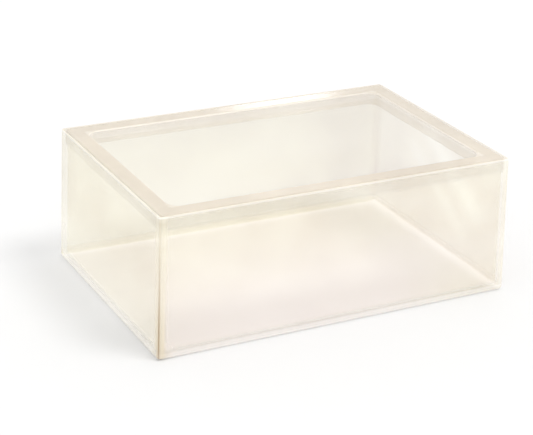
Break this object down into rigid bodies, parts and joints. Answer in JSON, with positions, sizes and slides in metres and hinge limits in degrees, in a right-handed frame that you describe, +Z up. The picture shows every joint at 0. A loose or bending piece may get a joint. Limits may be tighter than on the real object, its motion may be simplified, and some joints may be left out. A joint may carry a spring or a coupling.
{
  "type": "soap loaf mould",
  "caption": "Open-topped rectangular soap mould: a thin-walled see-through tub with a flat lift-out rim frame, for casting a block of soap, wax or resin.",
  "frame": {"origin": "centre of the underside of the tub, on the surface the mould stands on", "axes": "+X along the long side, +Y from the front wall to the back wall, +Z up out of the open mouth"},
  "size_m": [0.165, 0.1116, 0.061],
  "materials": {
    "tub_plastic": "smooth, see-through, faintly creamy",
    "frame_plastic": "smooth, cloudier and warmer than the walls because it is thicker"
  },
  "bodies": {
    "tub_body": {"tub": "tub_plastic"},
    "frame_body": {"rim_frame": "frame_plastic"}
  },
  "joints": [
    {"name": "frame_lift", "type": "slide", "parent": "tub_body", "child": "frame_body", "axis": [0, 0, 1], "range_m": [0, 0.03]}
  ]
}
